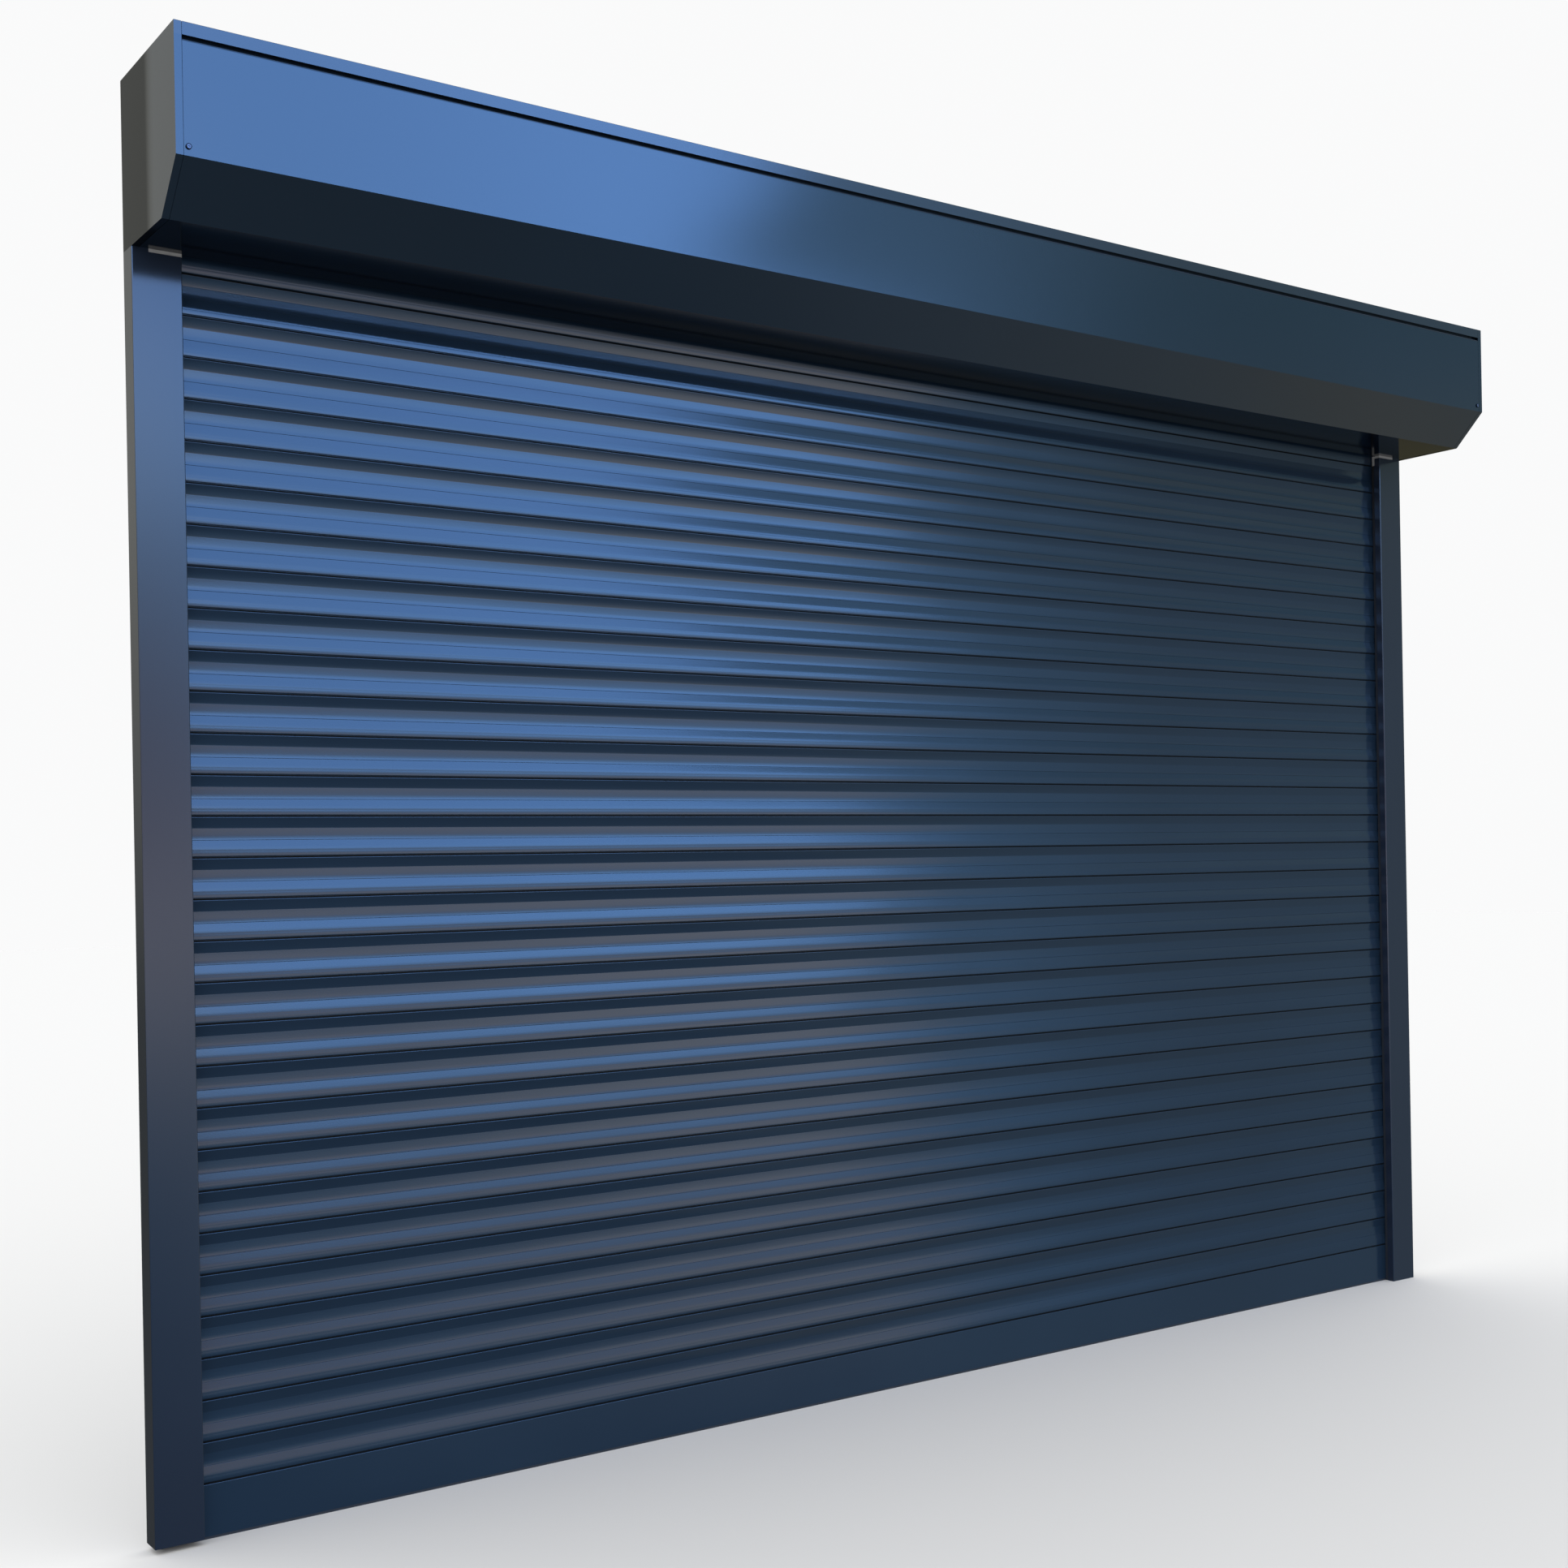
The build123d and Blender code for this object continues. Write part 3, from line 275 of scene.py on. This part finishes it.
# How far the rolled face turns from its flat shape, in degrees, by the height on a slat in mm
MM_IN_A_METRE = 1000
SLAT_TURN = (
    (0, -2.0), (3, 0.4), (7.8, 0.4), (8.8, -3.4), (12, -2.8), (17, -0.4), (27.5, 0.0), (28.4, -2.0),
    (29.6, 6.5), (33, 3.5), (38, 0.4), (49.8, -1.2), (51, 0.0), (53, -2.8), (60, -5.0), (68, -7.5),
    (70.4, -8.0), (70.9, 0.0), (77, 0.0),
)
# Where the turn and the joints' painted shade start, in slats above the lowest knuckle
TURN_START = (-0.02, 0.02)
JOINT_SHADE_START = (-0.10, -0.08)
# Each slat's own lengthwise twist, and the layer of the noise that it is taken from
TWIST_LAYER = 0.5
TWIST_SCALE = 1.3
TWIST_DETAIL = 3.0
TWIST_SHARE = 0.035
# Heights on a slat, in mm, between which its joint is open and gets painted shade
JOINT_FOOT = 72.2
JOINT_TOP = 74.7
JOINT_BLUR = 0.3
# Colour of the painted shade in the slat joints, on the fascia's top edge and on the end plates
PAINTED_SHADE_COLOUR = (0.008, 0.009, 0.010, 1)
# Dust on the front of the box's top strip: where it is, its colour and its share
STRIP_LOW, STRIP_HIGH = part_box("box_top_panel")
STRIP_FOOT = STRIP_LOW.z
STRIP_FRONT = STRIP_LOW.y + 0.0004
STRIP_BLUR = 0.001
STRIP_DUST = (0.42, 0.37, 0.30, 1)
STRIP_DUST_SHARE = 0.030
# Painted shade along the fascia's top edge, under the shadow gap
EDGE_SHADE_FOOT = STRIP_FOOT - 0.0113
EDGE_SHADE_TOP = STRIP_FOOT - 0.0091
EDGE_SHADE_SHARE = 0.66
# Dust that has settled on the flat top of the box takes most of its shine
SETTLED_BAND = (STRIP_HIGH.z - 0.0006, STRIP_HIGH.z - 0.0002)
SETTLED_DUST = (0.30, 0.30, 0.30, 1)
SETTLED_SHARE = 0.10
SETTLED_DULLING = 0.97
# Painted shade on the end plates, which grows between these places before the wall
PLATE_SHADE_BAND = (-0.195, -0.140)
PLATE_SHADE_SHARE = 0.92
# Dust from the floor dulls everything below this height
FLOOR_DUST_TOP = 1.1
FLOOR_DUST_DULLING = 0.30


def start_finish(name):
    """Material with its nodes ready: the tree's helper and the object coordinates."""
    material = bpy.data.materials.new(name)
    material.use_nodes = True
    n = Nodes(material.node_tree)
    return material, n, n.add("ShaderNodeTexCoord").outputs["Object"]


def end_finish(n, inputs):
    """Close a material's tree with its surface."""
    surface = n.add("ShaderNodeBsdfPrincipled", inputs)
    n.add("ShaderNodeOutputMaterial", {"Surface": surface.outputs[0]})


def slat_marks(n, axes, facing):
    """Direction of the rolled slats' face, with each slat's own twist, and the shade painted in their
    joints.
    """
    steps = n.math("DIVIDE", n.math("SUBTRACT", axes["Z"], FIRST_KNUCKLE), SLAT_PITCH)
    level = n.math("MULTIPLY", n.math("FRACT", steps), MM_IN_A_METRE * SLAT_PITCH)
    number = n.math("FLOOR", steps)
    along = n.math("MULTIPLY", axes["X"], TWIST_SCALE)
    strip = n.add("ShaderNodeCombineXYZ", {"X": along, "Y": number, "Z": TWIST_LAYER}).outputs[0]
    facing = n.shift(facing, n.wander(strip, 1.0, TWIST_DETAIL), TWIST_SHARE)
    degrees = n.math("MULTIPLY", n.profile(level, SLAT_TURN), n.ramp(steps, *TURN_START))
    turn = n.math("MULTIPLY", degrees, math.pi / 180)
    facing = n.shift(facing, n.add("ShaderNodeCombineXYZ", {"Z": turn}).outputs[0], 1.0)
    # Shade painted into the open joint of each slat, darkening its tint and its shine
    above_foot = n.ramp(level, JOINT_FOOT - JOINT_BLUR, JOINT_FOOT)
    below_top = n.ramp(level, JOINT_TOP + JOINT_BLUR, JOINT_TOP)
    inside = n.math("MULTIPLY", above_foot, below_top)
    return facing, n.math("MULTIPLY", inside, n.ramp(steps, *JOINT_SHADE_START))


def fascia_marks(n, axes, facing):
    """The fascia's own direction, and a narrow line of painted shade just under the strip."""
    # Painted shade under the strip, where the fascia's top edge bends in
    above_foot = n.ramp(axes["Z"], EDGE_SHADE_FOOT, EDGE_SHADE_TOP)
    below_strip = n.ramp(axes["Z"], STRIP_FOOT - STRIP_BLUR, STRIP_FOOT - 3 * STRIP_BLUR)
    return facing, n.math("MULTIPLY", n.math("MULTIPLY", above_foot, below_strip), EDGE_SHADE_SHARE)


def end_plate_marks(n, axes, facing):
    """The end plates' own direction, and the painted shade on their back half."""
    return facing, n.math("MULTIPLY", n.ramp(axes["Y"], *PLATE_SHADE_BAND), PLATE_SHADE_SHARE)


def dusted(n, axes, tint, settled):
    """Tint with the dust that lies on the box's flat top and on the front of its strip."""
    tint = n.mix(n.math("MULTIPLY", settled, SETTLED_SHARE), tint, SETTLED_DUST)
    on_strip = n.math("MULTIPLY", n.ramp(axes["Z"], STRIP_FOOT - STRIP_BLUR, STRIP_FOOT), STRIP_DUST_SHARE)
    in_front = n.ramp(axes["Y"], STRIP_FRONT + STRIP_BLUR, STRIP_FRONT)
    return n.mix(n.math("MULTIPLY", on_strip, in_front), tint, STRIP_DUST)


def coating(name, colour, roughness, ior, wave=0.0, marks=None):
    """Satin powder coat with orange peel and faint waves; marks gives a piece's own direction and painted
    shade.
    """
    material, n, place = start_finish(name)
    axes = n.add("ShaderNodeSeparateXYZ", {"Vector": place}).outputs
    facing = n.add("ShaderNodeNewGeometry").outputs["Normal"]
    facing = n.shift(facing, n.wander(place, WAVE_SCALE, WAVE_DETAIL), wave)
    painted_shade = 0.0
    if marks:
        facing, painted_shade = marks(n, axes, facing)
    settled = n.ramp(axes["Z"], *SETTLED_BAND)
    tint = n.varied(colour, n.noise(place, PATCH_SCALE, PATCH_DETAIL), PATCH_CONTRAST)
    # Painted shade from marks darkens the tint and takes away shine
    tint = n.mix(painted_shade, dusted(n, axes, tint, settled), PAINTED_SHADE_COLOUR)
    low_down = n.ramp(axes["Z"], FLOOR_DUST_TOP, 0.0)
    shine = n.math("MULTIPLY_ADD", low_down, -FULL_SHINE * FLOOR_DUST_DULLING, FULL_SHINE)
    shine = n.math("MULTIPLY", shine, n.math("MULTIPLY_ADD", settled, -SETTLED_DULLING, 1.0))
    shine = n.math("MULTIPLY", shine, n.math("SUBTRACT", 1.0, painted_shade))
    peel = n.add("ShaderNodeBump", {
        "Strength": PEEL_STRENGTH, "Distance": PEEL_DEPTH,
        "Height": n.noise(place, PEEL_SCALE, PEEL_DETAIL), "Normal": facing})
    end_finish(n, {
        "Base Color": tint, "Roughness": roughness, "Normal": peel.outputs["Normal"],
        "IOR": ior, "Specular IOR Level": shine})
    return material


# Grain of the plain finishes: detail and contrast of the tone, and strength and depth of the relief
GRAIN_DETAIL = 4.0
GRAIN_CONTRAST = 0.4
GRAIN_STRENGTH = 0.3
GRAIN_DEPTH = 0.0002


def plain(name, colour, roughness, metallic=0.0, grain=60.0):
    """Everyday finish with a little grain: plastic, rubber, brush, foam or bare metal."""
    material, n, place = start_finish(name)
    speck = n.noise(place, grain, GRAIN_DETAIL)
    tint = n.varied(colour, speck, GRAIN_CONTRAST)
    relief = n.add("ShaderNodeBump", {"Strength": GRAIN_STRENGTH, "Distance": GRAIN_DEPTH, "Height": speck})
    end_finish(n, {
        "Base Color": tint, "Roughness": roughness, "Metallic": metallic,
        "Normal": relief.outputs["Normal"]})
    return material


# Cross-recess panel screws: where their heads stand, in metres, and the part of a head that is bright
SCREWS_LOW, SCREWS_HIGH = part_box("panel_screws")
HEAD_RADIUS = 0.005
SCREW_X = (SCREWS_LOW.x + HEAD_RADIUS, SCREWS_HIGH.x - HEAD_RADIUS)
SCREW_Z = (SCREWS_LOW.z + SCREWS_HIGH.z) / 2
BRIGHT_RADIUS = 0.0033
BRIGHT_BLUR = 0.0006
SCREW_BRIGHT = (0.10, 0.14, 0.22, 1)
# Colour of the darker rim around each head
SCREW_RIM_COLOUR = (0.004, 0.006, 0.010, 1)
RIM_SHINE_LOSS = 0.45
SCREW_ROUGHNESS = 0.35
SCREW_METALLIC = 0.3


def screw_finish():
    """Screws in the coating's blue, with darker rims."""
    material, n, place = start_finish("screw_steel")
    axes = n.add("ShaderNodeSeparateXYZ", {"Vector": place}).outputs
    above = n.math("SUBTRACT", axes["Z"], SCREW_Z)
    spans = []
    for x in SCREW_X:
        aside = n.math("SUBTRACT", axes["X"], x)
        spans.append(n.math("ADD", n.math("MULTIPLY", aside, aside), n.math("MULTIPLY", above, above)))
    distance = n.math("SQRT", n.math("MINIMUM", *spans))
    rim = n.ramp(distance, BRIGHT_RADIUS, BRIGHT_RADIUS + BRIGHT_BLUR)
    tint = n.mix(rim, SCREW_BRIGHT, SCREW_RIM_COLOUR)
    shine = n.math("MULTIPLY_ADD", rim, -RIM_SHINE_LOSS, FULL_SHINE)
    end_finish(n, {
        "Base Color": tint, "Roughness": SCREW_ROUGHNESS, "Metallic": SCREW_METALLIC,
        "Specular IOR Level": shine})
    return material


BOX_COAT = {"colour": (0.0092, 0.0200, 0.0380), "roughness": 0.10, "ior": 1.6, "wave": 0.006}
FINISHES = {
    "slat_coating": coating("slat_coating", (0.0115, 0.0250, 0.0480), 0.13, 1.5, marks=slat_marks),
    "rail_coating": coating("rail_coating", (0.0150, 0.0218, 0.0380), 0.14, 1.5, wave=0.01),
    "box_coating": coating("box_coating", **BOX_COAT, marks=fascia_marks),
    "bare_aluminium": plain("bare_aluminium", (0.62, 0.63, 0.65), 0.35, metallic=1.0),
    "light_grey_plastic": plain("light_grey_plastic", (0.40, 0.40, 0.39), 0.5),
    "black_plastic": plain("black_plastic", (0.015, 0.015, 0.016), 0.45),
    "black_brush": plain("black_brush", (0.012, 0.012, 0.012), 0.9, grain=900.0),
    "black_rubber": plain("black_rubber", (0.012, 0.012, 0.013), 0.7),
    "galvanised_steel": plain("galvanised_steel", (0.55, 0.57, 0.6), 0.4, metallic=1.0),
    "bearing_steel": plain("bearing_steel", (0.7, 0.7, 0.7), 0.18, metallic=1.0),
    "screw_steel": screw_finish(),
    "spring_steel": plain("spring_steel", (0.3, 0.32, 0.36), 0.35, metallic=1.0),
    "motor_white": plain("motor_white", (0.7, 0.7, 0.68), 0.35),
    "slat_foam": plain("slat_foam", (0.72, 0.6, 0.35), 0.95, grain=300.0),
}
END_PLATES = ("left_end_plate", "right_end_plate")
# The end plates' coating carries painted shade towards the wall
END_PLATE_SHADED_FINISH = coating("plate_coating_painted_shade", **BOX_COAT, marks=end_plate_marks)


def finish_nodes():
    """Give every CAD node the finish of its material slot, and the end plates their coating with painted
    shade.
    """
    for part in frame["record"]["subparts"]:
        finish = END_PLATE_SHADED_FINISH if part["node"] in END_PLATES else FINISHES[part["material_slot"]]
        for slot in frame["nodes"][part["node"]].material_slots:
            slot.material = finish


# Floor: colour, side in metres, and its fine specks
FLOOR_COLOUR = (0.675, 0.633, 0.584)
FLOOR_SIDE = 60
FLOOR_SPECK_SCALE = 2000.0
FLOOR_SPECK_DETAIL = 2.0
FLOOR_CONTRAST = 0.04


def lay_floor():
    """Pale matt floor, which the door's coating doesn't mirror."""
    material, n, place = start_finish("pale_floor")
    speck = n.noise(place, FLOOR_SPECK_SCALE, FLOOR_SPECK_DETAIL)
    surface = n.add("ShaderNodeBsdfDiffuse", {"Color": n.varied(FLOOR_COLOUR, speck, FLOOR_CONTRAST)})
    n.add("ShaderNodeOutputMaterial", {"Surface": surface.outputs[0]})
    bpy.ops.mesh.primitive_plane_add(size=FLOOR_SIDE)
    floor = bpy.context.object
    floor.name = "floor"
    floor.data.materials.append(material)
    floor.visible_glossy = False
    floor.visible_diffuse = False


set_camera()
set_light()
finish_nodes()
lay_floor()
